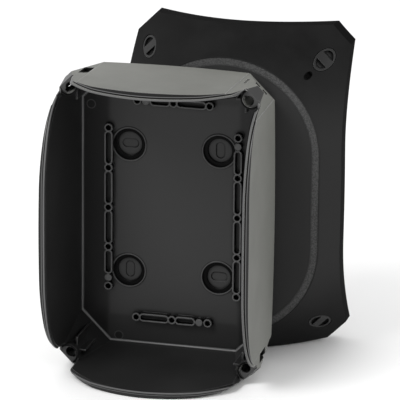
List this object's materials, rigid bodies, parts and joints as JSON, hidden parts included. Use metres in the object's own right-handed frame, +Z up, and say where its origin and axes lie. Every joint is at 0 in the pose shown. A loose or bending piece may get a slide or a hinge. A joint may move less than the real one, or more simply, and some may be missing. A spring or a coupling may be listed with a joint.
{
  "type": "cable junction box",
  "caption": "Wall-mounted cable junction box, opened: moulded base with screw boss chains and arched rims, and its domed lid with quarter-turn locks standing behind.",
  "frame": {"origin": "middle of the whole set's box in X and Y, on the surface it stands on", "axes": "+Z up the box's height, +Y into the wall behind the base, +X to the right seen from the front"},
  "size_m": [0.1382, 0.1344, 0.1753],
  "materials": {
    "base_plastic": "satin moulded plastic, lighter on the outside walls",
    "lid_plastic": "matte moulded plastic",
    "seal_rubber": "matte foamed seal",
    "lock_plastic": "satin moulded plastic"
  },
  "bodies": {
    "housing": {"housing_base": "base_plastic", "lid": "lid_plastic", "lid_gasket": "seal_rubber"},
    "lock_top_left": {"lid_lock_top_left": "lock_plastic"},
    "lock_top_right": {"lid_lock_top_right": "lock_plastic"},
    "lock_bottom_right": {"lid_lock_bottom_right": "lock_plastic"},
    "lock_bottom_left": {"lid_lock_bottom_left": "lock_plastic"}
  },
  "joints": [
    {"name": "turn_top_left", "type": "hinge", "parent": "housing", "child": "lock_top_left", "pos_m": [-0.03642, 0.0467, 0.15865], "axis": [0, 1, 0], "range_deg": [0, 90]},
    {"name": "turn_top_right", "type": "hinge", "parent": "housing", "child": "lock_top_right", "pos_m": [0.05678, 0.0467, 0.15865], "axis": [0, 1, 0], "range_deg": [0, 90]},
    {"name": "turn_bottom_right", "type": "hinge", "parent": "housing", "child": "lock_bottom_right", "pos_m": [0.05678, 0.0467, 0.01665], "axis": [0, 1, 0], "range_deg": [0, 90]},
    {"name": "turn_bottom_left", "type": "hinge", "parent": "housing", "child": "lock_bottom_left", "pos_m": [-0.03642, 0.0467, 0.01665], "axis": [0, 1, 0], "range_deg": [0, 90]}
  ]
}
